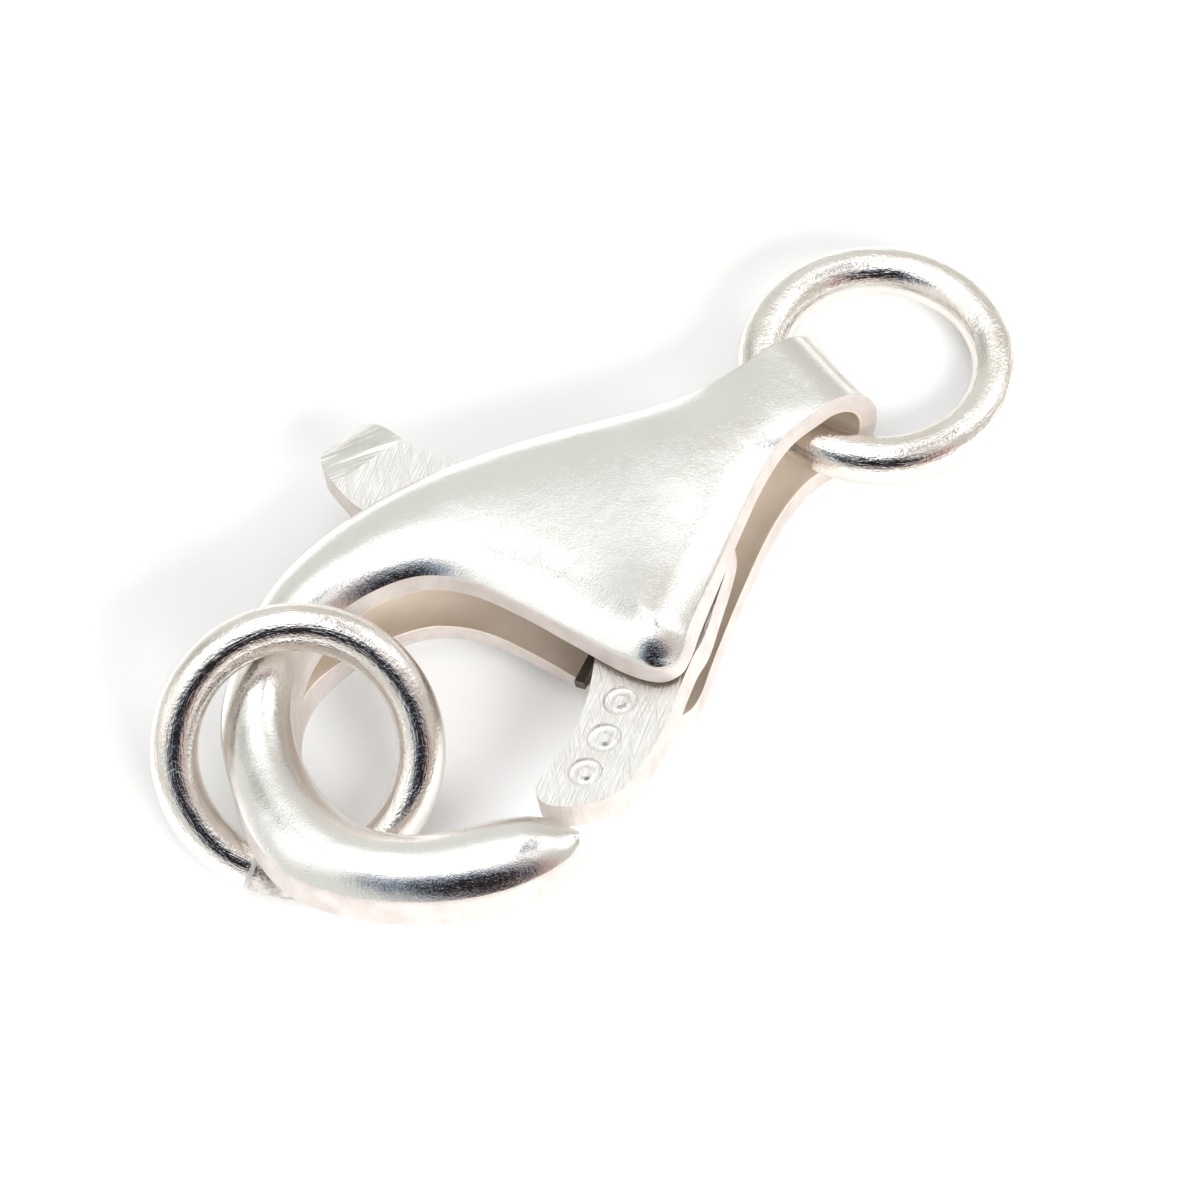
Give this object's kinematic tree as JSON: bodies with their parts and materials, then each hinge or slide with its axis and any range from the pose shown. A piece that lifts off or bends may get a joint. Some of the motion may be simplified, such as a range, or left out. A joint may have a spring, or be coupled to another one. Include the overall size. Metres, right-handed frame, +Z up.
{
  "type": "lobster clasp",
  "caption": "Small silver lobster clasp of two domed plates that close into a hook, with a sprung trigger lever and a jump ring in its tail fold and on its hook.",
  "frame": {"origin": "on the surface that the clasp lies on, under the middle of the outer box", "axes": "+X from the hook to the tail fold, +Y to the side of the thumb tab, +Z up from the surface"},
  "size_m": [0.0174, 0.0102, 0.0036],
  "materials": {
    "polished_silver": "polished sterling silver, fine hairlines, matte cut edges",
    "stamped_silver": "filed sterling silver with three round punch marks",
    "ring_silver": "drawn silver wire, polished, with faint draw lines",
    "pin_steel": "plain drawn pin",
    "spring_steel": "dark spring wire"
  },
  "bodies": {
    "clasp": {"body_shell": "polished_silver", "pivot_pin": "pin_steel", "leaf_spring": "spring_steel", "tail_ring": "ring_silver", "hook_ring": "ring_silver"},
    "trigger": {"trigger_lever": "stamped_silver"}
  },
  "joints": [
    {"name": "trigger_hinge", "type": "hinge", "parent": "clasp", "child": "trigger", "pos_m": [0.00005, -0.00023, 0.00138], "axis": [-0.0473, 0, -0.9989], "range_deg": [0, 22], "stiffness_Nm_per_rad": 0.004, "springref_deg": -17.19}
  ]
}
